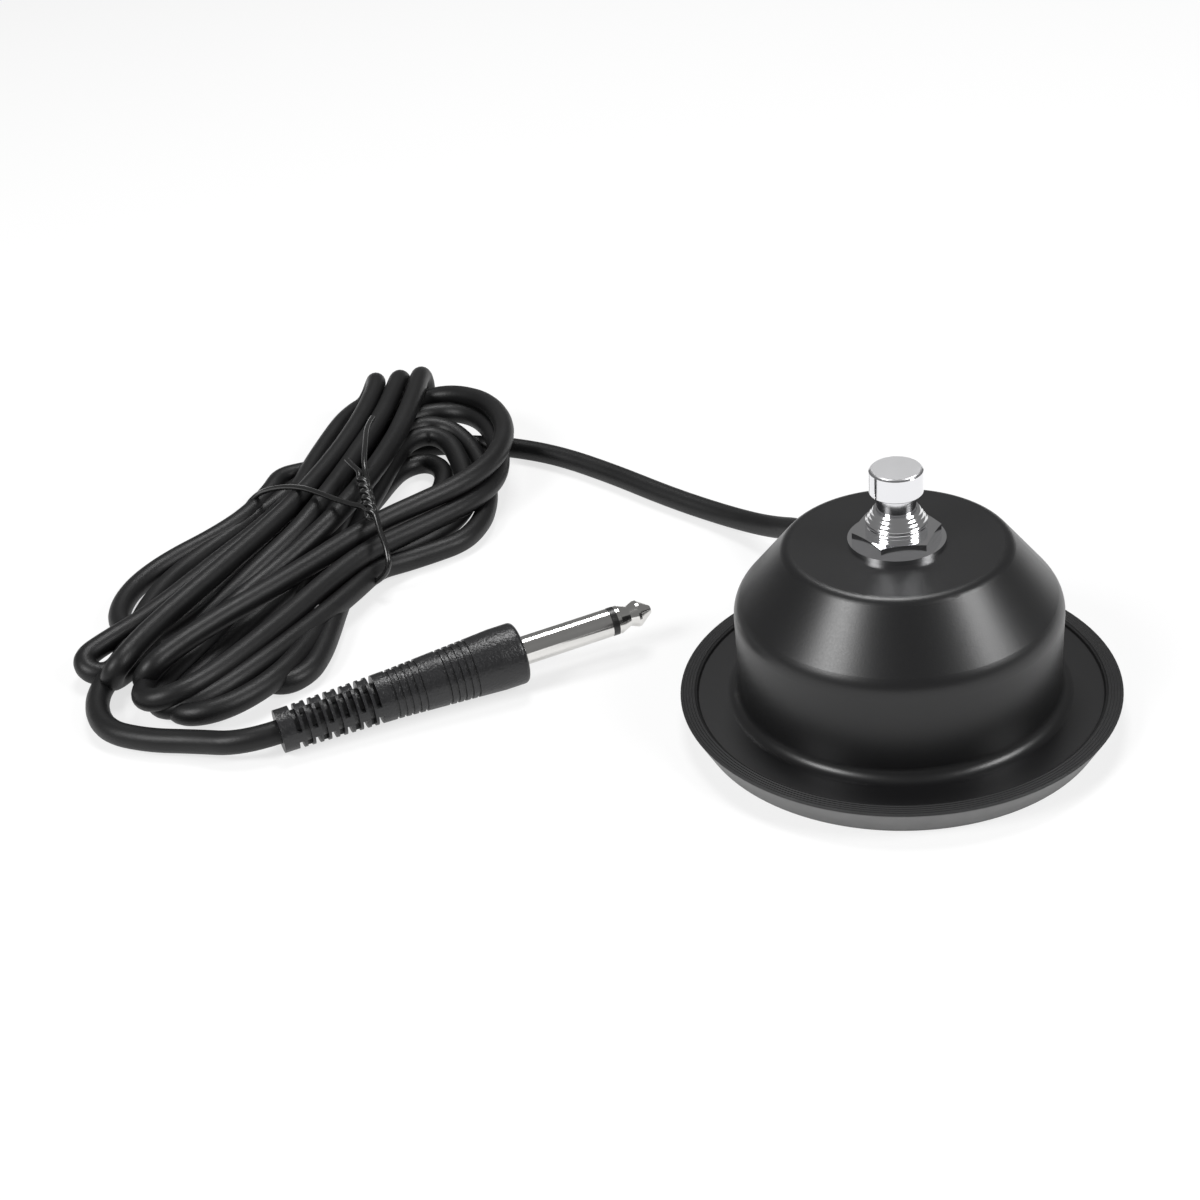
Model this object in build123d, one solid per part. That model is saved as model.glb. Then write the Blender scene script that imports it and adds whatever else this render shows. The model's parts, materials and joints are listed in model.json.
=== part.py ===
from build123d import *
import math
import os

# Foot switch for an amplifier: a pressed steel bell on a rubber base ring, a latching
# push switch in its top, and an instrument cord in a tied hank with a moulded plug.
# Millimetres, +Z up. The origin is the middle of the base, on the floor, and the
# photograph looks along +Y.

# Rubber base ring
rim_radius = 45.2
rim_foot_radius = 41.8
rim_height = 6.2
rim_lip_width = 3.3
rim_lip_slope = 0.7
rim_lip_rise = 0.8
rim_edge_cover = 2.8
rim_bottom_width = 4.6
rim_edge_round = 0.3
edge_reach = 0.1

# Pressed bell
sheet = 1.2
bell_height = 39.5
top_radius = 22.3
ridge_radius = 33.0
ridge_height = 26.2
wall_foot_radius = 32.7
top_edge_round = 2.7
ridge_round = 6.0
foot_round = 2.5
base_plate_thickness = 1.0
plate_dish_radius = 30.0
plate_dish_depth = 1.2

# Foot button and threaded bushing
button_radius = 5.3
button_head_height = 5.2
button_chamfer = 0.45
stem_radius = 3.9
button_travel = 3.0
button_stop_gap = 0.6
bushing_radius = 6.1
bushing_thread_above = 5.1
bushing_cone_height = 2.4
bushing_cone_top_wall = 0.6
running_fit = 0.05
thread_fit = 0.1
case_drop = 5.2

# Nuts and washers on the bushing
washer_radius = 9.7
washer_thickness = 1.0
nut_across_flats = 15.4
nut_thickness = 2.2
nut_chamfer = 0.5
lock_washer_radius = 9.0
lock_washer_thickness = 0.8
lock_tooth_count = 10
lock_tooth_length = 1.2
lock_tooth_width = 1.6

# Switch case
case_side = 17.0
case_height = 16.4
case_sheet = 0.8
case_corner_round = 1.6
body_wall = 1.9
terminal_board = 2.0
guide_post_radius = 1.4
guide_post_height = 2.6

# Moving parts inside the case
driver_radius = 5.1
driver_thickness = 2.6
driver_post_radius = 2.7
claw_slot_width = 0.8
rotor_radius = 5.2
rotor_thickness = 1.8
rotor_hub_radius = 2.7
rotor_hub_height = 1.0
tooth_height = 0.9
moving_gap = 0.3
bridge_thickness = 0.5
bridge_width = 3.2
bridge_eye_radius = 2.35
rivet_radius = 1.3
rivet_head = 0.6
rivet_spacing = 7.6
spring_wire = 0.7
spring_radius = 4.1
spring_turns = 4

# Terminals and inner wires
lug_width = 2.6
lug_thickness = 0.6
lug_clearance = 4.0
lug_hole_radius = 0.7
solder_radius = 1.1
solder_length = 1.8
wire_radius = 0.7
wire_side_step = 0.85
wire_straight = 3.5
wire_bend_radius = 3.0
stripped_radius = 20.5

# Strain relief in the wall of the bell
exit_angle = 100.0
exit_height = 11.5
relief_length = 14.0
relief_flange_radius = 4.9
relief_flange = 1.6
relief_inner_flange = 1.6
relief_neck_radius = 3.7
relief_root_radius = 4.1
relief_end_radius = 3.15

# Cord
cord_diameter = 5.2
cord_radius = cord_diameter / 2
arc_share = 0.45

# Moulded plug
plug_angle = 19.0
plug_face_x = -77.8
plug_face_y = 24.5
grip_length = 54.4
grip_radius = 6.85
grip_groove_radius = 6.5
grip_neck_radius = 5.4
grip_relief_length = 22.8
grip_relief_end_radius = 4.7
grip_end_ring = 2.0
grip_collar = 2.4
grip_core_radius = 3.6
grip_face_round = 1.1
plug_lift = 0.05
slot_count = 6
slot_width = 1.1
slot_web = 2.2
groove_count = 5
groove_pitch = 1.55
groove_width = 0.7
groove_depth = 0.35
smooth_barrel = 11.0
smooth_middle = 3.8
shaft_radius = 3.175
shaft_length = 31.0
sleeve_length = 20.9
insulator_length = 1.5
sleeve_bore_radius = 1.9
tip_rod_radius = 1.1
tip_collar = 0.8
tip_waist_at = 3.1
tip_bulb_at = 4.8
tip_bulb_width = 0.6
tip_waist_radius = 2.25
tip_bulb_radius = 2.95
tip_end_radius = 0.9
tip_end_round = 0.3

# Tied hank
hank_side_height = 8.0
hank_crown_height = 15.3
hank_edge_round = 3.0
hank_corner_round = 7.0
tie_corner_round = 3.5
tie_wire_radius = 0.7
tie_gap = 0.15
tie_knot_radius = 1.5
tie_knot_rise = 0.9

# Levels that the sizes above give
flange_top = rim_height - rim_lip_rise
flange_bottom = flange_top - sheet
flange_radius = rim_radius - rim_edge_cover
plate_bottom = flange_bottom - base_plate_thickness
bell_inside_top = bell_height - sheet
case_top = bell_inside_top - case_drop
case_bottom = case_top - case_height
body_top = case_top - case_sheet
board_bottom = case_bottom - terminal_board
plate_top = flange_bottom + plate_dish_depth
lug_length = board_bottom - plate_top - lug_clearance
washer_top = bell_height + washer_thickness
thread_top = bell_height + bushing_thread_above
bushing_top = thread_top + bushing_cone_height
button_bottom = bushing_top + button_travel + button_stop_gap
button_top = button_bottom + button_head_height
driver_top = body_top - moving_gap / 2
driver_bottom = driver_top - driver_thickness
rotor_bottom = case_bottom + rivet_head + bridge_thickness
rotor_top = rotor_bottom + rotor_thickness
ratchet_top = rotor_top + rotor_hub_height + tooth_height
driver_post_bottom = ratchet_top + button_travel + moving_gap
wall_radius_at_exit = wall_foot_radius + (ridge_radius - wall_foot_radius) * (
    (exit_height - flange_top) / (ridge_height - flange_top)
)
relief_end = wall_radius_at_exit + relief_length
tip_start = sleeve_length + insulator_length
barrel_start = smooth_barrel / 2
plug_rise = math.asin((grip_radius - grip_relief_end_radius) / (grip_length - barrel_start))
plug_face_height = grip_radius + plug_lift + barrel_start * math.sin(plug_rise)

# Places of the cord, chosen by hand
lead_straight = 11.3
lead_points = [
    (-17.5, 70.5, 5.5),
    (-27.0, 83.0, 2.9),
    (-39.5, 95.8, 2.6),
    (-53.0, 111.5, 2.6),
    (-66.5, 125.0, 2.6),
    (-80.0, 133.2, 2.6),
    (-93.0, 137.2, 2.8),
]
tail_straight = 8.0
tail_points = [
    (-155.0, 54.5, 3.2),
    (-162.7, 48.4, 2.6),
    (-170.4, 39.8, 2.6),
    (-172.4, 28.5, 2.6),
    (-167.7, 18.2, 2.6),
    (-157.6, 11.6, 2.7),
    (-147.6, 8.4, 2.9),
]
hank_outline = [
    (-177.0, 47.0),
    (-171.0, 33.0),
    (-160.0, 15.5),
    (-146.0, 12.5),
    (-130.0, 17.0),
    (-119.5, 30.0),
    (-114.0, 50.0),
    (-107.0, 66.0),
    (-84.0, 84.0),
    (-77.5, 104.0),
    (-76.5, 132.0),
    (-86.0, 152.0),
    (-97.0, 164.0),
    (-122.0, 164.0),
    (-131.0, 136.0),
    (-143.5, 124.0),
    (-150.0, 104.0),
    (-168.0, 84.0),
    (-177.0, 64.0),
]
hank_crown = [
    (-166.0, 32.0),
    (-154.0, 31.0),
    (-140.0, 44.0),
    (-116.0, 72.0),
    (-92.0, 91.0),
    (-77.5, 108.0),
    (-76.8, 132.0),
    (-86.0, 149.0),
    (-98.0, 163.0),
    (-120.0, 163.0),
    (-126.0, 134.0),
    (-137.0, 96.0),
    (-157.0, 60.0),
]
tie_middle = (-124.2, 90.2)
tie_angle = 46.0
tie_left = -30.3
tie_right = 27.5
tie_side_step = 1.3
tie_crown_left = -13.5
tie_crown_right = 17.5
knot_near = (-112.0, 75.0)
knot_far = (-113.8, 92.0)
long_end = [(-113.4, 96.5, 20.2), (-113.2, 106.0, 21.4), (-113.3, 115.0, 21.4), (-112.2, 121.0, 20.6)]
short_end = [(-115.0, 95.6, 18.6), (-117.4, 100.8, 18.8)]


def flat(points):
    """A flat face inside straight sides."""
    return make_face(Polyline(*points, close=True).edges())


def turned_face(face):
    """A body turned about Z from a face drawn as radius and height."""
    return revolve(Plane.XZ * face, Axis.Z)


def turned(points):
    """A body turned about Z from its half section, as (radius, height) points."""
    return turned_face(flat(points))


def tube(inner, outer, low, high):
    """A plain ring about Z."""
    return turned([(inner, low), (outer, low), (outer, high), (inner, high)])


def rod(radius, low, high):
    """A plain cylinder about Z."""
    return Pos(0, 0, low) * Cylinder(radius, high - low, align=(Align.CENTER, Align.CENTER, Align.MIN))


def block(length, width, low, high):
    """A plain block about Z."""
    return Pos(0, 0, low) * Box(length, width, high - low, align=(Align.CENTER, Align.CENTER, Align.MIN))


def inset_corners(points, distance):
    """The corners of an open line moved sideways by the distance, mitred at each corner."""
    normals = []
    for (x0, y0), (x1, y1) in zip(points, points[1:]):
        length = math.hypot(x1 - x0, y1 - y0)
        normals.append(((y1 - y0) / length, -(x1 - x0) / length))
    moved = []
    for i, (x, y) in enumerate(points):
        a = normals[max(i - 1, 0)]
        b = normals[min(i, len(normals) - 1)]
        share = distance / (1 + a[0] * b[0] + a[1] * b[1])
        moved.append((x + (a[0] + b[0]) * share, y + (a[1] + b[1]) * share))
    return moved


def relief_frame():
    """The frame of the cord's exit: Z runs outwards from the bell's axis."""
    turn = math.radians(exit_angle)
    outwards = (math.cos(turn), math.sin(turn), 0)
    return Plane(origin=(0, 0, exit_height), x_dir=(0, 0, 1), z_dir=outwards)


def make_bell():
    outer = [
        (0, bell_height),
        (top_radius, bell_height),
        (ridge_radius, ridge_height),
        (wall_foot_radius, flange_top),
        (flange_radius, flange_top),
    ]
    inner = inset_corners(outer, sheet)
    inner[0] = (0, inner[0][1])
    inner[-1] = (flange_radius, inner[-1][1])
    outside = FilletPolyline(*outer, radius=[top_edge_round, ridge_round, foot_round])
    inside = FilletPolyline(*inner, radius=[top_edge_round - sheet, ridge_round - sheet, foot_round + sheet])
    axis_line = Line(outer[0], inner[0])
    edge_line = Line(outer[-1], inner[-1])
    section = [*outside.edges(), *edge_line.edges(), *inside.edges(), *axis_line.edges()]
    bell = turned_face(make_face(section))
    bell -= rod(bushing_radius + thread_fit, bell_inside_top - sheet, bell_height + sheet)
    bore = Pos(0, 0, wall_radius_at_exit) * Cylinder(relief_neck_radius + running_fit, 6 * sheet)
    return bell - relief_frame() * bore


def make_base_ring():
    """The rubber ring, with a lip over the flange and a groove for flange and base plate."""
    lip_inner = rim_radius - rim_lip_width
    bottom_inner = rim_foot_radius - rim_bottom_width
    section = [
        (bottom_inner, 0),
        (rim_foot_radius, 0),
        (rim_radius, rim_height),
        (lip_inner, rim_height),
        (lip_inner - rim_lip_slope, flange_top),
        (flange_radius, flange_top),
        (flange_radius, plate_bottom),
        (bottom_inner, plate_bottom),
    ]
    face = flat(section)
    lip_corners = face.vertices().filter_by_position(Axis.Y, flange_top + edge_reach, rim_height + edge_reach)
    return turned_face(fillet(lip_corners, rim_edge_round))


def make_base_plate():
    dish = plate_dish_radius
    slope = plate_dish_depth
    outline = [
        (0, plate_bottom + slope),
        (dish, plate_bottom + slope),
        (dish + slope, plate_bottom),
        (flange_radius, plate_bottom),
        (flange_radius, flange_bottom),
        (dish + slope, flange_bottom),
        (dish, flange_bottom + slope),
        (0, flange_bottom + slope),
    ]
    return turned(outline)


def make_bushing():
    """The threaded bushing with its coned top, staked in the case by a flange."""
    bore = stem_radius + running_fit
    flange = bushing_radius + case_sheet
    flange_level = case_top - case_sheet / 2
    outline = [
        (bore, body_top),
        (flange, body_top),
        (flange, flange_level),
        (bushing_radius, flange_level),
        (bushing_radius, thread_top),
        (bore + bushing_cone_top_wall, bushing_top),
        (bore, bushing_top),
    ]
    return turned(outline)


def make_nut(bottom):
    nut = Pos(0, 0, bottom) * extrude(
        RegularPolygon(nut_across_flats / 2, 6, major_radius=False), nut_thickness
    )
    cone_radius = nut_across_flats / math.sqrt(3)
    crown = turned(
        [
            (0, bottom),
            (cone_radius + nut_chamfer, bottom),
            (cone_radius + nut_chamfer, bottom + nut_thickness - nut_chamfer),
            (nut_across_flats / 2, bottom + nut_thickness),
            (0, bottom + nut_thickness),
        ]
    )
    return (nut & crown) - rod(bushing_radius, bottom - 1, bottom + nut_thickness + 1)


def make_lock_washer():
    """The washer under the bell's top, with teeth that point in at the thread."""
    top = bell_inside_top
    low = top - lock_washer_thickness
    tooth_start = bushing_radius + thread_fit
    tooth_root = tooth_start + lock_tooth_length
    washer = tube(tooth_root, lock_washer_radius, low, top)
    tooth_length = lock_tooth_length + thread_fit
    tooth = Pos(tooth_start + tooth_length / 2, 0, 0) * block(tooth_length, lock_tooth_width, low, top)
    for i in range(lock_tooth_count):
        washer += Rot(0, 0, i * 360 / lock_tooth_count) * tooth
    return washer


def rounded_block(side, low, high, corner):
    """A square block about Z with rounded upright edges."""
    return Pos(0, 0, low) * extrude(RectangleRounded(side, side, corner), high - low)


def make_case():
    """The folded steel case that carries the bushing."""
    case = rounded_block(case_side, case_bottom, case_top, case_corner_round)
    inner_side = case_side - 2 * case_sheet
    case -= rounded_block(inner_side, case_bottom - 1, body_top, case_corner_round - case_sheet)
    case -= rod(bushing_radius + case_sheet, body_top - 1, case_top - case_sheet / 2)
    return case - rod(bushing_radius, body_top, case_top + 1)


def make_switch_body():
    side = case_side - 2 * case_sheet
    body = rounded_block(side, case_bottom, body_top, case_corner_round - case_sheet)
    chamber = side / 2 - body_wall
    return body - rod(chamber, case_bottom - 1, body_top + 1)


def make_terminal_board():
    board = rounded_block(case_side, board_bottom, case_bottom, case_corner_round)
    board += rod(guide_post_radius, case_bottom, case_bottom + guide_post_height)
    seat = case_bottom - rivet_head
    slot = block(lug_thickness, lug_width, board_bottom - 1, seat)
    rivet_hole = rod(rivet_radius, seat, case_bottom + 1)
    for side in (-1, 1):
        board -= Pos(side * rivet_spacing / 2, 0, 0) * (slot + rivet_hole)
    return board


def make_lugs():
    """Two solder lugs, each a flat blade with a hole and a round contact head."""
    lugs = []
    for side in (-1, 1):
        blade_low = board_bottom - lug_length
        blade = block(lug_thickness, lug_width, blade_low, case_bottom - rivet_head)
        hole = Rot(0, 90, 0) * Cylinder(lug_hole_radius, 4 * lug_thickness)
        hole = Pos(0, 0, blade_low + lug_width / 2) * hole
        head = rod(rivet_radius, case_bottom - rivet_head, case_bottom + rivet_head)
        lugs.append(Pos(side * rivet_spacing / 2, 0, 0) * (blade - hole + head))
    return Compound(children=lugs)


def saw_teeth(radius, bottom):
    """Four ramps that rise round the hub, each with a steep back."""
    ramp = make_face(Polyline((0, 0), (radius, 0), (radius, tooth_height), close=True).edges())
    wedge = extrude(Plane.XZ * ramp, -radius) & rod(radius, 0, tooth_height)
    teeth = [Pos(0, 0, bottom) * Rot(0, 0, i * 90) * wedge for i in range(4)]
    return teeth[0] + teeth[1] + teeth[2] + teeth[3]


def make_rotor():
    rotor = rod(rotor_radius, rotor_bottom, rotor_top)
    rotor += rod(rotor_hub_radius, rotor_top, rotor_top + rotor_hub_height)
    rotor += saw_teeth(rotor_hub_radius, rotor_top + rotor_hub_height)
    post_room = guide_post_radius + moving_gap
    return rotor - rod(post_room, rotor_bottom - 1, case_bottom + guide_post_height + moving_gap)


def make_bridge():
    """The shorting plate under the rotor, across both contact heads."""
    low = case_bottom + rivet_head
    strap = block(2 * rotor_radius, bridge_width, low, rotor_bottom) & rod(rotor_radius, low, rotor_bottom)
    strap += rod(bridge_eye_radius, low, rotor_bottom)
    return strap - rod(guide_post_radius + moving_gap, low - 1, rotor_bottom + 1)


def make_driver():
    driver = rod(driver_radius, driver_bottom, driver_top)
    driver += rod(driver_post_radius, driver_post_bottom, driver_bottom)
    for turn in (0, 90):
        driver -= Rot(0, 0, turn) * block(
            3 * driver_post_radius, claw_slot_width, driver_post_bottom - 1, driver_post_bottom + tooth_height
        )
    return driver - rod(stem_radius / 2, driver_bottom, driver_top + 1)


def make_button():
    """Head, stem and the thin end that the driver is pressed on, turned in one piece."""
    inner = button_radius - button_chamfer
    return turned(
        [
            (0, driver_bottom),
            (stem_radius / 2, driver_bottom),
            (stem_radius / 2, driver_top),
            (stem_radius, driver_top),
            (stem_radius, button_bottom),
            (button_radius - button_chamfer / 2, button_bottom),
            (button_radius, button_bottom + button_chamfer / 2),
            (button_radius, button_top - button_chamfer),
            (inner, button_top),
            (0, button_top),
        ]
    )


def make_spring():
    """The return spring between the rotor and the driver, with closed ring ends."""
    low = rotor_top + spring_wire / 2 + running_fit
    high = driver_bottom - spring_wire / 2 - running_fit
    pitch = (high - low) / spring_turns
    path = Pos(0, 0, low) * Helix(pitch, high - low, spring_radius)
    start = Plane(origin=path @ 0, z_dir=path % 0)
    return sweep(start * Circle(spring_wire / 2), path=path)


def lug_joint(side):
    """Where a wire meets its lug: on the outer face of the blade, at its hole."""
    return Vector(
        side * (rivet_spacing / 2 + lug_thickness / 2), 0, board_bottom - lug_length + lug_width / 2
    )


def make_solder(side):
    """A bead of solder on the lug's outer face, where the wire ends."""
    centre = lug_joint(side) + Vector(side * wire_radius, 0, 0)
    bead = Pos(centre) * Rot(90, 0, 0) * Cylinder(solder_radius, solder_length)
    outside = Pos(lug_joint(side) + Vector(side * solder_length, 0, 0)) * Box(
        2 * solder_length, 2 * solder_length, 2 * solder_length
    )
    return bead & outside


def make_relief():
    """The strain relief, turned about the exit's axis and seated on the curved wall."""
    wall_in = wall_radius_at_exit - sheet
    face = wall_radius_at_exit + relief_flange
    outline = [
        (cord_radius, wall_in - relief_inner_flange),
        (relief_flange_radius, wall_in - relief_inner_flange),
        (relief_flange_radius, wall_in),
        (relief_neck_radius, wall_in),
        (relief_neck_radius, wall_radius_at_exit - sheet / 2),
        (relief_flange_radius, wall_radius_at_exit - sheet / 2),
        (relief_flange_radius, face),
        (relief_root_radius, face),
        (relief_end_radius, relief_end),
        (cord_radius, relief_end),
    ]
    return relief_frame() * turned(outline)


def corner_radii(points):
    """The radius of the arc at each inner point of a cord's route."""
    radii = []
    for a, b, c in zip(points, points[1:], points[2:]):
        before = Vector(*b) - Vector(*a)
        after = Vector(*c) - Vector(*b)
        half_turn = math.radians(before.get_angle(after)) / 2
        radii.append(arc_share * min(before.length, after.length) / math.tan(half_turn))
    return radii


def wire_along(points, radius):
    """A round wire along straight runs joined by tangent arcs, and the line that it follows."""
    path = FilletPolyline(*points, radius=corner_radii(points))
    start = Plane(origin=path @ 0, z_dir=path % 0)
    return sweep(start * Circle(radius), path=path), path


def make_cord(name, points):
    """A stretch of the cord, whose radii, length and volume are printed to be looked over."""
    cord, path = wire_along(points, cord_radius)
    section = math.pi * cord_radius**2
    print(name, "arc radii", [round(r, 1) for r in corner_radii(points)], "length %.1f" % path.length,
          "volume ratio %.4f" % (cord.volume / (section * path.length)))
    return cord


def make_cord_inner_end():
    """The jacket inside the strain relief and just past it in the bell."""
    return relief_frame() * rod(cord_radius, stripped_radius, relief_end)


def tie_plane():
    """The plane across the hank at its tie: X runs across the hank, Y runs up."""
    turn = math.radians(tie_angle)
    along = (math.cos(turn), math.sin(turn), 0)
    across = (math.sin(turn), -math.cos(turn), 0)
    return Plane(origin=(*tie_middle, 0), x_dir=across, z_dir=tuple(-c for c in along))


def tie_section(grow):
    """The rounded outline inside the tie, made larger by grow on every side."""
    low = 2 * tie_wire_radius + tie_gap
    corners = [
        (tie_left + tie_side_step, low),
        (tie_left, hank_side_height),
        (tie_crown_left, hank_crown_height),
        (tie_crown_right, hank_crown_height),
        (tie_right, hank_side_height),
        (tie_right - tie_side_step, low),
    ]
    section = flat(corners)
    section = fillet(section.vertices(), tie_corner_round)
    return offset(section, grow) if grow else section


def rounded_slab(corners, height):
    """An upright slab with rounded corners and a rounded top edge."""
    outline = flat(corners)
    slab = extrude(fillet(outline.vertices(), hank_corner_round), height)
    return fillet(slab.faces().sort_by(Axis.Z)[-1].edges(), hank_edge_round)


def make_hank():
    """The outer shape of the tied hank: low sides, a crown where the top turns lie, a seat for the tie."""
    hank = rounded_slab(hank_outline, hank_side_height) + rounded_slab(hank_crown, hank_crown_height)
    groove_half = tie_wire_radius + tie_gap
    around = tie_plane() * Rectangle(4 * tie_right, 4 * hank_crown_height)
    groove = extrude(around, groove_half, both=True)
    core = extrude(tie_plane() * tie_section(0), groove_half, both=True)
    return hank - (groove - core)


def make_tie():
    """A wire tie round the hank, with a twisted knot and two free ends that stand up."""
    loop = tie_section(tie_gap + 2 * tie_wire_radius) - tie_section(tie_gap)
    tie = extrude(tie_plane() * loop, tie_wire_radius, both=True)
    near_height = hank_crown_height + tie_gap + tie_knot_radius
    near = Vector(*knot_near, near_height)
    far = Vector(*knot_far, near_height + tie_knot_rise)
    along = (far - near).normalized()
    knot = Plane(origin=near, z_dir=along) * rod(tie_knot_radius, 0, (far - near).length)
    root = far - along * tie_knot_radius
    ends = [wire_along([tuple(root), *points], tie_wire_radius)[0] for points in (long_end, short_end)]
    return tie + knot + ends


def plug_frame():
    """The plug's frame: Z runs from the barrel's face to the tip, and both ends of the grip rest."""
    turn = math.radians(plug_angle)
    level = math.cos(plug_rise)
    forwards = (level * math.cos(turn), level * math.sin(turn), math.sin(plug_rise))
    return Plane(
        origin=(plug_face_x, plug_face_y, plug_face_height),
        x_dir=(math.sin(turn), -math.cos(turn), 0),
        z_dir=forwards,
    )


def make_grip():
    """The plug's moulded grip: barrel, taper with two groups of grooves, slotted relief."""
    relief_high = -grip_length + grip_relief_length
    taper_low = relief_high + grip_collar
    taper_slope = (grip_groove_radius - grip_neck_radius) / (-smooth_barrel - taper_low)
    outside = grip_radius + 1
    outline = [
        (0, -grip_length),
        (grip_relief_end_radius, -grip_length),
        (grip_relief_end_radius, -grip_length + grip_end_ring),
        (grip_neck_radius, taper_low),
        (grip_groove_radius, -smooth_barrel),
        (grip_radius, -barrel_start),
        (grip_radius, 0),
        (0, 0),
    ]
    grip = turned(outline)
    front = grip.edges().filter_by(GeomType.CIRCLE).sort_by(Axis.Z)[-1]
    grip = fillet(front, grip_face_round)
    group = groove_count * groove_pitch
    for high in (-smooth_barrel, -smooth_barrel - group - smooth_middle):
        for i in range(groove_count):
            z = high - (i + 0.5) * groove_pitch
            bottom = grip_neck_radius + taper_slope * (z - taper_low) - groove_depth
            grip -= tube(bottom, outside, z - groove_width / 2, z + groove_width / 2)
    pitch = (grip_relief_length - grip_end_ring) / slot_count
    for i in range(2 * slot_count - 1):
        z = -grip_length + grip_end_ring + (i + 1) * pitch / 2 - slot_width / 2
        slot = tube(grip_core_radius, outside, z, z + slot_width)
        web = block(4 * grip_radius, slot_web, z - 1, z + slot_width + 1)
        grip -= Rot(0, 0, 90 * (i % 2)) * (slot - web)
    return plug_frame() * grip


def make_sleeve():
    return plug_frame() * tube(sleeve_bore_radius, shaft_radius, 0, sleeve_length)


def make_insulator():
    """The black ring before the tip, with the lining that runs back inside the sleeve."""
    outline = [
        (tip_rod_radius, 0),
        (sleeve_bore_radius, 0),
        (sleeve_bore_radius, sleeve_length),
        (shaft_radius, sleeve_length),
        (shaft_radius, tip_start),
        (tip_rod_radius, tip_start),
    ]
    return plug_frame() * turned(outline)


def make_tip():
    """The tip contact with its collar, waist and bulb, on the rod that runs back through."""
    outline = [
        (0, 0),
        (tip_rod_radius, 0),
        (tip_rod_radius, tip_start),
        (shaft_radius, tip_start),
        (shaft_radius, tip_start + tip_collar),
        (tip_waist_radius, tip_start + tip_waist_at),
        (tip_bulb_radius, tip_start + tip_bulb_at),
        (tip_bulb_radius, tip_start + tip_bulb_at + tip_bulb_width),
        (tip_end_radius, shaft_length - tip_end_round),
        (0, shaft_length),
    ]
    return plug_frame() * turned(outline)


def make_wire(side):
    """One inner wire, from the stripped end of the cord to its lug."""
    frame = relief_frame()
    start = frame.from_local_coords(Vector(0, side * wire_side_step, stripped_radius))
    joint = lug_joint(side) + Vector(side * wire_radius, solder_length / 2, 0)
    route = [
        start,
        start - frame.z_dir * wire_straight,
        joint + Vector(0, 2 * wire_straight, 0),
        joint,
    ]
    points = [tuple(p) for p in route]
    radii = [min(wire_bend_radius, r) for r in corner_radii(points)]
    path = FilletPolyline(*points, radius=radii)
    plane = Plane(origin=path @ 0, z_dir=path % 0)
    return sweep(plane * Circle(wire_radius), path=path)


def main():
    os.makedirs("parts", exist_ok=True)
    bell = make_bell()
    hank = make_hank()
    exit_frame = relief_frame()
    lead_start = exit_frame.from_local_coords(Vector(0, 0, relief_end))
    lead_turn = exit_frame.from_local_coords(Vector(0, 0, relief_end + lead_straight))
    grip_frame = plug_frame()
    tail_turn = grip_frame.from_local_coords(Vector(0, 0, -grip_length - tail_straight))
    tail_end = grip_frame.from_local_coords(Vector(0, 0, -grip_length))
    lead = make_cord("cord_lead", [tuple(lead_start), tuple(lead_turn), *lead_points])
    tail = make_cord("cord_tail", [*tail_points, tuple(tail_turn), tuple(tail_end)])
    under_nut_bottom = bell_inside_top - lock_washer_thickness - nut_thickness
    parts = {
        "housing_bell": bell,
        "base_ring": make_base_ring(),
        "base_plate": make_base_plate(),
        "foot_button": make_button(),
        "switch_bushing": make_bushing(),
        "top_washer": tube(bushing_radius + thread_fit, washer_radius, bell_height, washer_top),
        "top_nut": make_nut(washer_top),
        "lock_washer": make_lock_washer(),
        "under_nut": make_nut(under_nut_bottom),
        "switch_case": make_case(),
        "switch_body": make_switch_body(),
        "switch_driver": make_driver(),
        "return_spring": make_spring(),
        "contact_rotor": make_rotor(),
        "contact_bridge": make_bridge(),
        "terminal_board": make_terminal_board(),
        "terminal_lugs": make_lugs(),
        "wire_signal": make_wire(1),
        "wire_screen": make_wire(-1),
        "solder_joints": Compound(children=[make_solder(side) for side in (-1, 1)]),
        "cord_relief": make_relief() - bell,
        "cord_inner_end": make_cord_inner_end(),
        "cord_lead": lead - hank,
        "cord_hank": hank,
        "cord_tail": tail - hank,
        "twist_tie": make_tie(),
        "plug_grip": make_grip(),
        "plug_sleeve": make_sleeve(),
        "plug_insulator": make_insulator(),
        "plug_tip": make_tip(),
    }
    for name, shape in parts.items():
        export_step(shape, f"parts/{name}.step")


main()
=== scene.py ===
import json
import math

import bpy
from mathutils import Euler, Matrix, Vector


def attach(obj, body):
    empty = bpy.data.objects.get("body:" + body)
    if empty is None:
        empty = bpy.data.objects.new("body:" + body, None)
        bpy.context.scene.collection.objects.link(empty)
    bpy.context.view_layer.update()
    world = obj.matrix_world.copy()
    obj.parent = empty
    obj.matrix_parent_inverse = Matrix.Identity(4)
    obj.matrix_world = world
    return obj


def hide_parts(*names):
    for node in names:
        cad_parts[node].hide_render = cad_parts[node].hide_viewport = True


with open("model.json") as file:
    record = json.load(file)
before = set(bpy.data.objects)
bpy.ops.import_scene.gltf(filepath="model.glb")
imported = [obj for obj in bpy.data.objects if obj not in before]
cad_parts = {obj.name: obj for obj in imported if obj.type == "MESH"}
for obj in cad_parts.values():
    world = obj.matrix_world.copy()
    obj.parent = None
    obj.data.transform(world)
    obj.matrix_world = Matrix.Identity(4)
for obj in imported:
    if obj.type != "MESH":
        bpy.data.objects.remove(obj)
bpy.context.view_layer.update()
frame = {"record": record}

MM = 0.001


# Helpers for pieces

def add_object(name, data, body="housing"):
    obj = bpy.data.objects.new(name, data)
    bpy.context.scene.collection.objects.link(obj)
    if body:
        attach(obj, body)
    return obj


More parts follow.
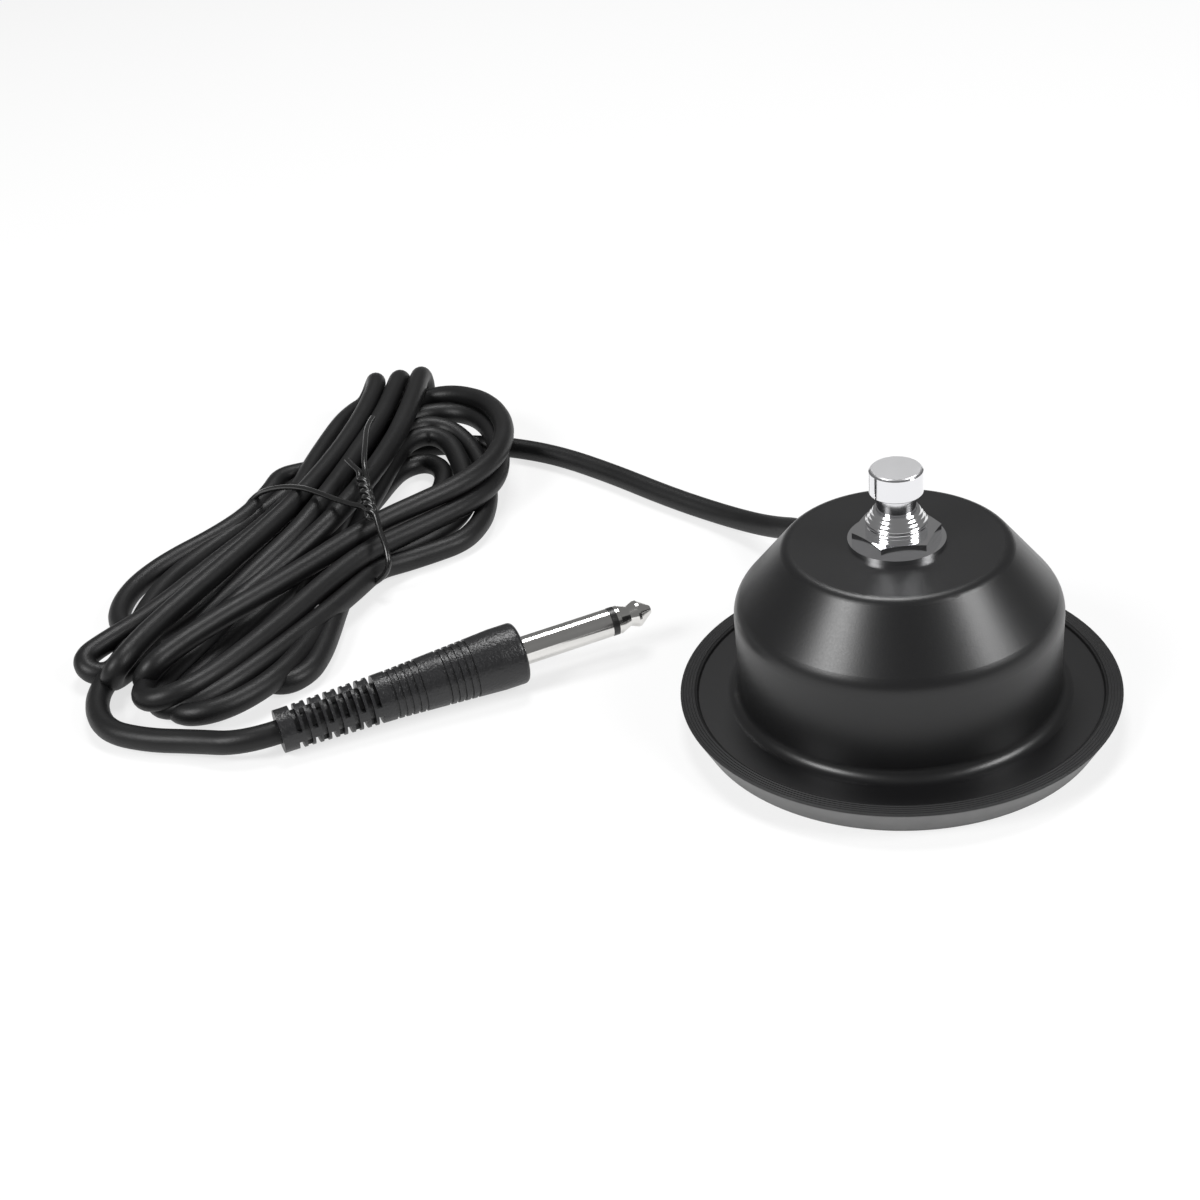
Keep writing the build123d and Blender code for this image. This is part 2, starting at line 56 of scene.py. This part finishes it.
def cord_curve(name, points, radius, sides=8):
    """A smooth round cord along a given route, in millimetres."""
    curve = bpy.data.curves.new(name, "CURVE")
    curve.dimensions = "3D"
    spline = curve.splines.new("NURBS")
    spline.points.add(len(points) - 1)
    for point, place in zip(spline.points, points):
        point.co = (place[0] * MM, place[1] * MM, place[2] * MM, 1)
    spline.order_u = 3
    spline.use_endpoint_u = True
    spline.resolution_u = 8
    curve.bevel_depth = radius * MM
    curve.bevel_resolution = sides
    curve.use_fill_caps = True
    return curve


# The cord's route, in millimetres: from the bell, through the hank's turns, to the plug

cord_radius = 2.6
exit_turn = math.radians(100)
exit_height = 11.5
relief_end = 46.79
lead_turn = relief_end + 11.3
lead = [
    (relief_end * math.cos(exit_turn), relief_end * math.sin(exit_turn), exit_height),
    (lead_turn * math.cos(exit_turn), lead_turn * math.sin(exit_turn), exit_height),
    (-17.5, 70.5, 5.5),
    (-27.0, 83.0, 2.9),
    (-39.5, 95.8, 2.6),
    (-53.0, 111.5, 2.6),
    (-66.5, 125.0, 2.6),
    (-80.0, 133.2, 2.6),
    (-93.0, 137.2, 2.7),
]
under_bundle = [(-105, 138, 2.7), (-117, 134, 2.8), (-126, 129, 3.9), (-133.6, 124.8, 5.3)]
outer_left = [
    (-138.5, 121.6, 6), (-140.2, 114.8, 5.7), (-145.2, 104.8, 4.7), (-153, 96.5, 3.9), (-162.6, 88.4, 3.4),
    (-169, 80.5, 2.9), (-172.2, 72, 2.7), (-172.2, 62.5, 2.7),
]
under_left = [(-168, 56, 2.7), (-159, 58, 2.7), (-147, 68, 2.7), (-136, 78, 2.7)]
small_loop = [
    (-125.5, 88, 2.7), (-118.8, 99, 2.7), (-113.8, 110, 2.8), (-110.4, 119.5, 2.8), (-107, 126, 2.8),
    (-101.6, 128.6, 2.7), (-97.3, 125, 2.7), (-95.7, 117.5, 2.7), (-98, 106.5, 2.7), (-106, 94, 2.7),
    (-117, 81, 2.7),
]
right_low = [
    (-120.5, 67, 2.8), (-122.5, 55, 3.2), (-125.5, 42, 4), (-130.5, 29.5, 4.6), (-137.3, 21, 4.8),
    (-144.4, 16.8, 4.7), (-151, 18, 4), (-153.8, 23.8, 3), (-152.3, 31, 2.6), (-148, 39, 2.6),
    (-143.6, 48, 2.6), (-138.6, 58.5, 2.6), (-131, 72, 2.6),
]
inner_loop = [
    (-123.5, 83.7, 2.6), (-117.5, 97, 4), (-112.5, 109, 6.3), (-109.3, 121, 7.4), (-105.8, 131, 7.8),
    (-99.8, 135.3, 7.6), (-94.6, 131, 6.6), (-92, 122.5, 5.6), (-90.2, 112, 5), (-89.5, 101, 4.6),
    (-93, 91.5, 4.5), (-99.3, 84.8, 4.4), (-106.5, 80.3, 4),
]
right_small = [
    (-116, 76.5, 3.2), (-118.7, 67.5, 2.8), (-120.2, 58.5, 2.7), (-121.3, 48.5, 2.7), (-122.6, 39.5, 2.7),
    (-124.7, 32.4, 2.7), (-129.2, 28.2, 2.7), (-134.3, 30, 2.6), (-136.3, 36, 2.6), (-134.5, 44, 2.6),
    (-130.8, 53.5, 2.8), (-127.5, 63.5, 3.8), (-125, 75, 6),
]
low_loop = [
    (-122.5, 87, 7.3), (-120, 98, 7.4), (-117, 110, 7.5), (-113.5, 122, 7.6), (-108.5, 133, 7.9),
    (-102, 140.5, 8), (-94.5, 139.5, 6.5), (-89.3, 132, 4.5), (-86.3, 122, 3), (-85, 112, 2.7),
    (-85, 101.7, 2.7), (-86.6, 92.3, 2.7), (-91, 84, 2.7), (-98.2, 80.2, 2.7), (-104.8, 77, 2.8),
]
right_middle = [
    (-111.5, 72.5, 4), (-116, 63, 4.6), (-122.5, 52, 5), (-129.5, 41, 5.5), (-137, 30.5, 5.8),
    (-144, 23.2, 5.4), (-150.5, 19.8, 4.8), (-156, 21.5, 4), (-158, 27, 3), (-156, 34.5, 2.6),
    (-151.5, 44, 2.6), (-146, 58, 2.6), (-138.5, 75, 2.6),
]
middle_loop = [
    (-131.5, 91, 2.7), (-126, 103, 3), (-121, 115, 4), (-116, 127, 6.2), (-110, 138.5, 8),
    (-103.5, 146, 8), (-96, 148, 7.5), (-89, 145, 7.2), (-84.5, 137, 7.6), (-82, 126, 8),
    (-81, 115.5, 7.6), (-82.5, 105, 7.3), (-88.5, 95.5, 7.3), (-97, 87.5, 7.4), (-106, 80.2, 7.8),
]
right_high = [
    (-114, 73, 8.3), (-122, 61.5, 8.2), (-129.5, 48.5, 8.2), (-137.5, 36, 8.2), (-144.5, 26.5, 8.1),
    (-151, 20.8, 7.8), (-157, 20.3, 6.8), (-160.5, 24.5, 5.4), (-160.5, 31.5, 4.4), (-156.5, 40, 4),
    (-150, 51, 4.5), (-142.5, 63, 5.5), (-134, 73, 7.2), (-127, 79.5, 9.8),
]
top_right = [
    (-121, 86, 12), (-115.5, 98, 12.8), (-111, 111, 13), (-107.3, 125, 13), (-104.8, 139, 13),
    (-103, 151.5, 13), (-102.1, 161.9, 12.9), (-101.4, 164.7, 10.1), (-101.4, 164.7, 6.1),
    (-101.6, 161.8, 3.3),
]
under_top_right = [
    (-102.3, 155, 2.9), (-103.3, 147, 4), (-105.5, 139.5, 7), (-110, 130, 7.6), (-114, 119, 7.5),
    (-119.5, 106, 7.5),
]
under_middle = [
    (-129.5, 89.5, 7.3), (-136, 78, 5.5), (-141.5, 66.5, 4), (-147.5, 56, 2.8), (-154, 46.5, 2.7),
    (-158.7, 40, 2.7), (-161.2, 35, 3), (-161.3, 32.2, 4.8), (-159.8, 31.2, 7.4), (-157.3, 32.9, 9.2),
]
high_strand = [
    (-151.5, 39.8, 9.8), (-143.5, 48, 10.3), (-134, 57.5, 10.5), (-125.5, 67, 10.5), (-117.5, 76, 10.7),
]
big_loop = [
    (-110, 83.2, 11), (-100.3, 89.5, 11.5), (-90, 96.5, 12), (-82.6, 106.5, 12.2), (-79.4, 118.5, 12.2),
    (-79.9, 130.8, 12), (-84, 142.6, 11.6), (-91, 150.5, 10.8), (-98, 153.6, 9.8), (-105, 152.4, 8.4),
]
under_top_left = [
    (-112, 146, 7.6), (-119, 135, 7.4), (-127.5, 124, 6), (-137, 113.5, 4.4), (-146, 102.5, 3.2),
    (-155, 91, 2.7), (-161.8, 80, 2.7), (-166, 67, 2.7), (-167.3, 52, 2.7), (-169.3, 41.2, 2.7),
]
left_strand = [
    (-172.5, 39.5, 2.9), (-175.6, 40.8, 3.9), (-176.5, 44.6, 4.8), (-171.8, 50, 5.2), (-164.6, 58, 5.2),
    (-156, 71, 5.4), (-149, 82.5, 5.6), (-141, 94, 6.1), (-134.6, 104.5, 7), (-132, 114, 7),
    (-130.2, 124, 7), (-127.2, 136.5, 6.9), (-123.9, 148.5, 6.9), (-120.8, 157, 6),
]
top_left = [
    (-118.4, 161.8, 5.2), (-116.6, 163.5, 7.4), (-115, 163.1, 10.8), (-114.1, 160.3, 12.9),
    (-114, 155.5, 13),
    (-115.1, 148.6, 12.8), (-117.5, 135, 13), (-121.3, 121, 12.8), (-126, 107.5, 12.6), (-130.8, 96, 12.4),
    (-136, 86.5, 11.8), (-142.5, 75.5, 11.2), (-151, 61.5, 10.6), (-158, 50.3, 9.9), (-162.7, 41.5, 9.4),
    (-165.3, 35.5, 8.9), (-167.4, 33.6, 7.2), (-168.8, 34.4, 4.6), (-168.6, 37.2, 2.8), (-165, 43, 2.7),
]
under_left_middle = [
    (-159.5, 52, 2.7), (-153.5, 62.5, 2.8), (-147.5, 75, 3), (-141, 87, 4.5), (-134, 97, 7),
    (-125, 107, 7.5), (-119.5, 120, 7.6), (-115, 131, 7.6), (-111, 140, 7), (-107.8, 148, 4),
    (-106.8, 155, 3),
]
top_middle = [
    (-106.8, 161, 3.3), (-106.8, 163.8, 6.1), (-107.2, 163.8, 10.1), (-107.8, 161, 12.9), (-108.7, 154.5, 13),
    (-110, 145.5, 12.9), (-112.3, 134, 13), (-116.5, 119, 12.9), (-121, 104, 12.7), (-125.5, 91.5, 12.2),
    (-130, 82.5, 10.8), (-136.5, 74, 9), (-143.5, 66, 6.5), (-149.5, 59.5, 4.4),
]
tail = [
    (-155.0, 54.5, 3.2),
    (-162.7, 48.4, 2.6),
    (-170.4, 39.8, 2.6),
    (-172.0, 28.3, 2.6),
    (-167.8, 17.0, 2.6),
    (-158.0, 11.7, 2.7),
    (-147.8, 9.2, 2.9),
]
grip_radius = 6.85
grip_end_radius = 4.7
grip_length = 54.4
grip_rest = 5.5
plug_lift = 0.05
plug_heading = math.radians(19)
plug_rise = math.asin((grip_radius - grip_end_radius) / (grip_length - grip_rest))
plug_face = Vector((-77.8, 24.5, grip_radius + plug_lift + grip_rest * math.sin(plug_rise)))
plug_forwards = Vector((
    math.cos(plug_rise) * math.cos(plug_heading),
    math.cos(plug_rise) * math.sin(plug_heading),
    math.sin(plug_rise),
))
tail_straight = 8
tail_turn = plug_face - plug_forwards * (grip_length + tail_straight)
tail_end = plug_face - plug_forwards * grip_length

route = [
    *lead, *under_bundle, *outer_left, *under_left, *small_loop, *right_low, *inner_loop, *right_small,
    *low_loop, *right_middle, *middle_loop, *right_high, *top_right, *under_top_right, *under_middle,
    *high_strand, *big_loop, *under_top_left, *left_strand, *top_left, *under_left_middle, *top_middle,
    *tail, tuple(tail_turn), tuple(tail_end),
]
cord_line = bpy.data.objects.new("cord_line", cord_curve("cord_line", route, cord_radius))
cord = add_object("cord", bpy.data.meshes.new_from_object(cord_line))
cord_line.data.bevel_depth = 0
cord_path = [tuple(v.co) for v in bpy.data.meshes.new_from_object(cord_line).vertices]
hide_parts("cord_lead", "cord_hank", "cord_tail")


# The tie: one wire round the hank, its two ends twisted together and left standing

tie_radius = 0.7
tie_loop = [
    (-112.6, 79.8, 17.0), (-116.2, 82.6, 16.6), (-121.0, 86.6, 16.7), (-125.6, 91.4, 16.6),
    (-130.0, 96.2, 15.7), (-135.2, 101.4, 13.6), (-139.8, 105.8, 10.9), (-142.8, 108.8, 8.4),
    (-145.8, 109.4, 5.6), (-147.4, 108.6, 2.9), (-146.6, 106.4, 0.9), (-131.0, 91.0, 0.8),
    (-117.0, 70.4, 0.9), (-111.6, 67.0, 3.2), (-107.6, 65.2, 7.8), (-107.8, 68.2, 11.4), (-109.2, 72.2, 14.0),
]
knot_near = Vector((-110.9, 75.2, 16.6))
knot_far = Vector((-113.7, 92.6, 17.8))
knot_turns = 3
knot_steps = 8
knot_radius = 1.0
short_end = [(-114.6, 95.4, 18.8), (-116.6, 98.6, 19.0), (-118.0, 102.0, 18.9)]
long_end = [(-113.4, 96.4, 20.2), (-113.2, 106.0, 21.4), (-113.3, 115.0, 21.4), (-112.2, 121.0, 20.6)]


def twist(phase):
    """The points of one of the two wires in the knot, from its near end to its far end."""
    along = (knot_far - knot_near).normalized()
    side = along.cross(Vector((0, 0, 1))).normalized()
    up = side.cross(along)
    points = []
    count = round(knot_turns * knot_steps)
    for i in range(count + 1):
        turn = phase + 2 * math.pi * i / knot_steps
        share = i / count
        place = knot_near.lerp(knot_far, share) + (side * math.cos(turn) + up * math.sin(turn)) * knot_radius
        points.append(tuple(place))
    return points


tie_route = [*reversed(short_end), *reversed(twist(math.pi)), *tie_loop, *twist(0), *long_end]
tie_line = bpy.data.objects.new("tie_line", cord_curve("tie_line", tie_route, tie_radius, 3))
tie = add_object("tie_wire", bpy.data.meshes.new_from_object(tie_line))
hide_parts("twist_tie")


# Finishes

class Flow:
    """A shader socket that takes part in sums."""

    def __init__(self, finish, socket):
        self.finish = finish
        self.socket = socket

    def sum(self, operation, first, second=0.0):
        return self.finish.node("Math", {"operation": operation}, {0: first, 1: second})

    def __add__(self, other):
        return self.sum("ADD", self, other)

    __radd__ = __add__

    def __sub__(self, other):
        return self.sum("SUBTRACT", self, other)

    def __rsub__(self, other):
        return self.sum("SUBTRACT", other, self)

    def __mul__(self, other):
        return self.sum("MULTIPLY", self, other)

    __rmul__ = __mul__

    def __pow__(self, other):
        return self.sum("POWER", self, other)

    def sine(self):
        return self.sum("SINE", self)

    def step(self, low, high):
        """0 below low, 1 above high, and a smooth rise between them."""
        settings = {"interpolation_type": "SMOOTHSTEP", "clamp": True}
        return self.finish.node("MapRange", settings, {"Value": self, "From Min": low, "From Max": high})


class Finish:
    """One material: a Principled shader and the nodes that feed it."""

    def __init__(self, name, colour, roughness, metallic=0.0):
        self.material = bpy.data.materials.new(name)
        self.material.use_nodes = True
        self.tree = self.material.node_tree
        self.shader = self.tree.nodes["Principled BSDF"]
        self.set("Base Color", (*colour, 1))
        self.set("Roughness", roughness)
        self.set("Metallic", metallic)

    def set(self, name, value):
        """Gives a socket of the shader a value or a link."""
        self.give(self.shader.inputs[name], value)

    def give(self, socket, value):
        if isinstance(value, Flow):
            self.tree.links.new(value.socket, socket)
        else:
            socket.default_value = value

    def node(self, kind, settings=None, inputs=None, output=0):
        """Any node, from its type, its settings and the values or links of its sockets."""
        node = self.tree.nodes.new("ShaderNode" + kind)
        for name, value in (settings or {}).items():
            setattr(node, name, value)
        for name, value in (inputs or {}).items():
            self.give(node.inputs[name], value)
        return Flow(self, node.outputs[output])

    def place(self):
        """The place on the object, in metres."""
        return self.node("TexCoord", output="Object")

    def axes(self, vector):
        """A vector's three numbers."""
        return [self.node("SeparateXYZ", inputs={"Vector": vector}, output=i) for i in range(3)]

    def speckle(self, scale, detail=3.0, roughness=0.55):
        """Noise between 0 and 1, with scale features to the metre."""
        inputs = {"Vector": self.place(), "Scale": scale, "Detail": detail, "Roughness": roughness}
        return self.node("TexNoise", inputs=inputs)

    def blend(self, share, first, second):
        """Two colours, mixed by a share."""
        inputs = {0: share, 6: (*first, 1), 7: (*second, 1)}
        return self.node("Mix", {"data_type": "RGBA"}, inputs, output=2)

    def relief(self, height, depth):
        """A surface relief, whose depth is in metres."""
        self.set("Normal", self.node("Bump", inputs={"Height": height, "Distance": depth, "Strength": 1.0}))


def radius_from_middle(finish):
    """The distance from the upright axis through the switch."""
    x, y, _ = finish.axes(finish.place())
    return (x * x + y * y) ** 0.5


def height_above_floor(finish):
    """The height of a place on the object."""
    return finish.axes(finish.place())[2]


def powder_coat():
    finish = Finish("powder_coat", (0.007, 0.007, 0.0075), 0.38)
    finish.set("Specular IOR Level", 0.5)
    fine = finish.speckle(2600, 2)
    finish.set("Roughness", 0.29 + 0.1 * fine)
    finish.relief(fine, 0.000008)
    return finish.material


def ring_rubber():
    finish = Finish("ring_rubber", (0.03, 0.03, 0.03), 0.62)
    radius = radius_from_middle(finish)
    line_spacing = 0.0006
    lines = (radius * (2 * math.pi / line_spacing)).sine() * 0.5 + 0.5
    height = height_above_floor(finish)
    # Painted light: the outer wall below the lip gets a lighter grey than the lip, though it is the same
    # black rubber, to stand in for the light it catches. The dust noise mottles this painted light and also
    # varies the roughness and relief.
    wall_slope = 0.548
    outside = (radius - height * wall_slope).step(0.0414, 0.0417)
    below_lip = 1 - height.step(0.0054, 0.0060)
    wall_painted_light = outside * below_lip
    dust_and_light_mottle = finish.speckle(260)
    share = wall_painted_light * (0.6 + 0.4 * dust_and_light_mottle)
    # The lip keeps its near-black; the wall gets the painted-light grey.
    finish.set("Base Color", finish.blend(share, (0.008, 0.008, 0.0085), (0.2, 0.2, 0.2)))
    finish.set("Roughness", 0.5 + 0.25 * dust_and_light_mottle)
    finish.relief(lines * (1 - wall_painted_light) + 0.4 * dust_and_light_mottle, 0.00012)
    return finish.material


def bare_metal(name, colour, roughness):
    """Plain metal with a slightly uneven polish."""
    finish = Finish(name, colour, roughness, 1.0)
    finish.set("Roughness", roughness * (0.75 + 0.5 * finish.speckle(300)))
    return finish.material


def button_chrome():
    finish = Finish("button_chrome", (0.72, 0.72, 0.74), 0.1, 1.0)
    face = height_above_floor(finish).step(0.05555, 0.0557)
    haze = finish.speckle(420)
    finish.set("Roughness", 0.06 + 0.05 * haze + 0.34 * face)
    finish.set("Base Color", finish.blend(face, (0.78, 0.78, 0.8), (0.7, 0.7, 0.71)))
    return finish.material


def bushing_chrome():
    finish = Finish("bushing_chrome", (0.8, 0.8, 0.81), 0.12, 1.0)
    height = height_above_floor(finish)
    thread_pitch = 0.00075
    threaded = 1 - radius_from_middle(finish).step(0.0060, 0.0064)
    thread = (height * (2 * math.pi / thread_pitch)).sine() * threaded
    finish.set("Roughness", 0.08 + 0.08 * finish.speckle(420))
    finish.relief(thread, 0.00002)
    return finish.material


def cord_rubber():
    finish = Finish("cord_rubber", (0.006, 0.006, 0.0065), 0.4)
    finish.set("Specular IOR Level", 0.36)
    smear = finish.speckle(90)
    finish.set("Roughness", 0.38 + 0.16 * smear)
    finish.set("Base Color", finish.blend(smear, (0.003, 0.003, 0.0033), (0.007, 0.007, 0.0073)))
    finish.relief(finish.speckle(1500, 2), 0.00004)
    return finish.material


def tie_plastic():
    finish = Finish("tie_plastic", (0.01, 0.01, 0.01), 0.22)
    finish.set("Roughness", 0.16 + 0.14 * finish.speckle(700))
    return finish.material


def grip_plastic():
    finish = Finish("grip_plastic", (0.012, 0.012, 0.013), 0.36)
    grain = finish.speckle(1700, 2)
    finish.set("Roughness", 0.24 + 0.2 * grain)
    finish.relief(grain, 0.00012)
    return finish.material


def moulding(name, colour, roughness):
    """A plain moulded plastic."""
    finish = Finish(name, colour, roughness)
    grain = finish.speckle(900)
    finish.set("Roughness", roughness * (0.85 + 0.3 * grain))
    finish.relief(grain, 0.00003)
    return finish.material


finishes = {
    "powder_coat": powder_coat(),
    "ring_rubber": ring_rubber(),
    "plate_steel": bare_metal("plate_steel", (0.42, 0.42, 0.43), 0.38),
    "button_chrome": button_chrome(),
    "bushing_chrome": bushing_chrome(),
    "switch_plastic": moulding("switch_plastic", (0.02, 0.02, 0.022), 0.45),
    "contact_brass": bare_metal("contact_brass", (0.72, 0.5, 0.24), 0.28),
    "board_brown": moulding("board_brown", (0.16, 0.07, 0.03), 0.5),
    "wire_red": moulding("wire_red", (0.45, 0.03, 0.02), 0.4),
    "wire_black": moulding("wire_black", (0.015, 0.015, 0.015), 0.45),
    "cord_rubber": cord_rubber(),
    "tie_plastic": tie_plastic(),
    "plug_nickel": bare_metal("plug_nickel", (0.78, 0.77, 0.75), 0.12),
}
node_finishes = {
    "plug_grip": grip_plastic(),
    "plug_insulator": moulding("insulator_black", (0.012, 0.012, 0.012), 0.35),
}


def dress(obj, material):
    """Puts one material in all of an object's material slots."""
    if not obj.material_slots:
        obj.data.materials.append(material)
    for slot in obj.material_slots:
        slot.material = material


for part in frame["record"]["subparts"]:
    node = part["node"]
    dress(bpy.data.objects[node], node_finishes.get(node, finishes[part["material_slot"]]))
dress(cord, finishes["cord_rubber"])
dress(tie, finishes["tie_plastic"])


# Studio

def studio_paper():
    """White paper that shows as white to the camera and in polished metal, and keeps some shadow."""
    finish = Finish("studio_paper", (0.86, 0.86, 0.86), 0.9)
    camera_ray = finish.node("LightPath", output="Is Camera Ray")
    glossy_ray = finish.node("LightPath", output="Is Glossy Ray")
    glow = finish.node("Emission", inputs={"Color": (1, 1, 1, 1), "Strength": 1.0})
    mix = finish.tree.nodes.new("ShaderNodeMixShader")
    finish.give(mix.inputs[0], camera_ray * 0.72 + glossy_ray * 0.5)
    finish.tree.links.new(finish.shader.outputs[0], mix.inputs[1])
    finish.give(mix.inputs[2], glow)
    finish.tree.links.new(mix.outputs[0], finish.tree.nodes["Material Output"].inputs[0])
    return finish.material


bpy.ops.object.select_all(action="DESELECT")
bpy.ops.mesh.primitive_plane_add(size=8, location=(0, 0, -0.0002))
paper = bpy.context.object
paper.name = "studio_paper"
dress(paper, studio_paper())

# The sky is white to the camera and gives the object a weaker, even light
world = bpy.data.worlds.new("studio")
bpy.context.scene.world = world
world.use_nodes = True
sky_nodes = world.node_tree.nodes
sky_light = 0.2
sky = sky_nodes["Background"].inputs
sky["Color"].default_value = (1, 1, 1, 1)
sky_rays = sky_nodes.new("ShaderNodeLightPath")
sky_strength = sky_nodes.new("ShaderNodeMath")
sky_strength.operation = "MULTIPLY_ADD"
sky_strength.inputs[1].default_value = 1 - sky_light
sky_strength.inputs[2].default_value = sky_light
world.node_tree.links.new(sky_rays.outputs["Is Camera Ray"], sky_strength.inputs[0])
world.node_tree.links.new(sky_strength.outputs[0], sky["Strength"])

subject = Vector((-0.04, 0.04, 0.01))


def softbox(name, place, size, power):
    """A square area lamp that faces the subject."""
    data = bpy.data.lights.new(name, "AREA")
    data.size = size
    data.energy = power
    lamp = bpy.data.objects.new(name, data)
    bpy.context.scene.collection.objects.link(lamp)
    lamp.location = place
    lamp.rotation_euler = (subject - Vector(place)).to_track_quat("-Z", "Y").to_euler()


softbox("left_box", (-0.72, -0.36, 0.68), 0.36, 7.0)
softbox("right_box", (0.74, -0.33, 0.66), 0.36, 6.4)
softbox("top_box", (0.0, 0.44, 0.98), 0.36, 5.5)

camera_data = bpy.data.cameras.new("camera")
camera_data.lens = 60
camera_data.sensor_width = 36
camera_data.clip_start = 0.01  # the camera stands close
camera = bpy.data.objects.new("camera", camera_data)
bpy.context.scene.collection.objects.link(camera)
camera.location = (-0.05947, -0.34100, 0.23870)
elevation = math.radians(31.11)
roll = math.radians(-5.84)
level_view = Euler((math.pi / 2 - elevation, 0, 0)).to_matrix()
camera.rotation_euler = (level_view @ Matrix.Rotation(roll, 3, "Z")).to_euler()
bpy.context.scene.camera = camera
bpy.context.scene.view_settings.view_transform = "Standard"
